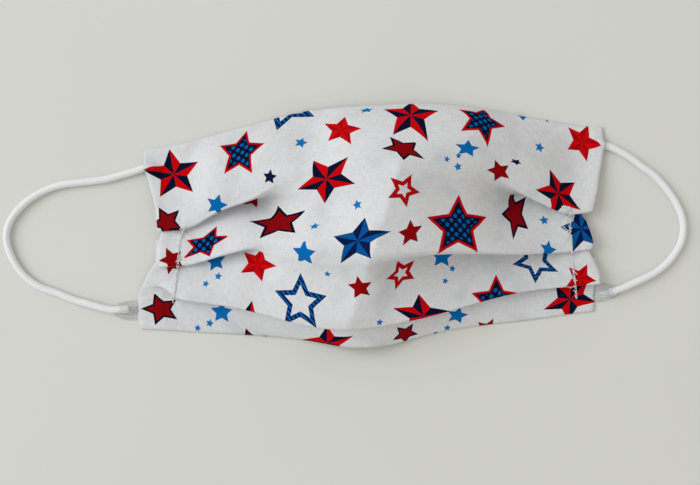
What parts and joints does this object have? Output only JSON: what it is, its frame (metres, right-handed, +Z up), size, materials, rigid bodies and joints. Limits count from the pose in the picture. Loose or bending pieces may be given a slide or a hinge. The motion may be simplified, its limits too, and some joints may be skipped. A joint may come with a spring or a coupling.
{
  "type": "pleated cloth face mask",
  "caption": "Pleated cotton face mask lying face up, with star print, side tacks, round elastic ear loops and small clear tape tabs.",
  "frame": {"origin": "under the middle of the cloth body, on the surface that it lies on", "axes": "+X across the mask to its right ear loop, +Y towards its nose edge, +Z up, away from the face side of the cloth"},
  "size_m": [0.2858, 0.1008, 0.034],
  "materials": {
    "printed_cotton": "plain-weave cotton printed with scattered stars",
    "white_elastic": "soft knitted round elastic",
    "clear_tape": "thin clear tape, creased"
  },
  "bodies": {
    "root": {"pleated_body": "printed_cotton", "ear_loop_left": "white_elastic", "ear_loop_right": "white_elastic", "clear_tab_left": "clear_tape", "clear_tab_right": "clear_tape"}
  },
  "joints": []
}
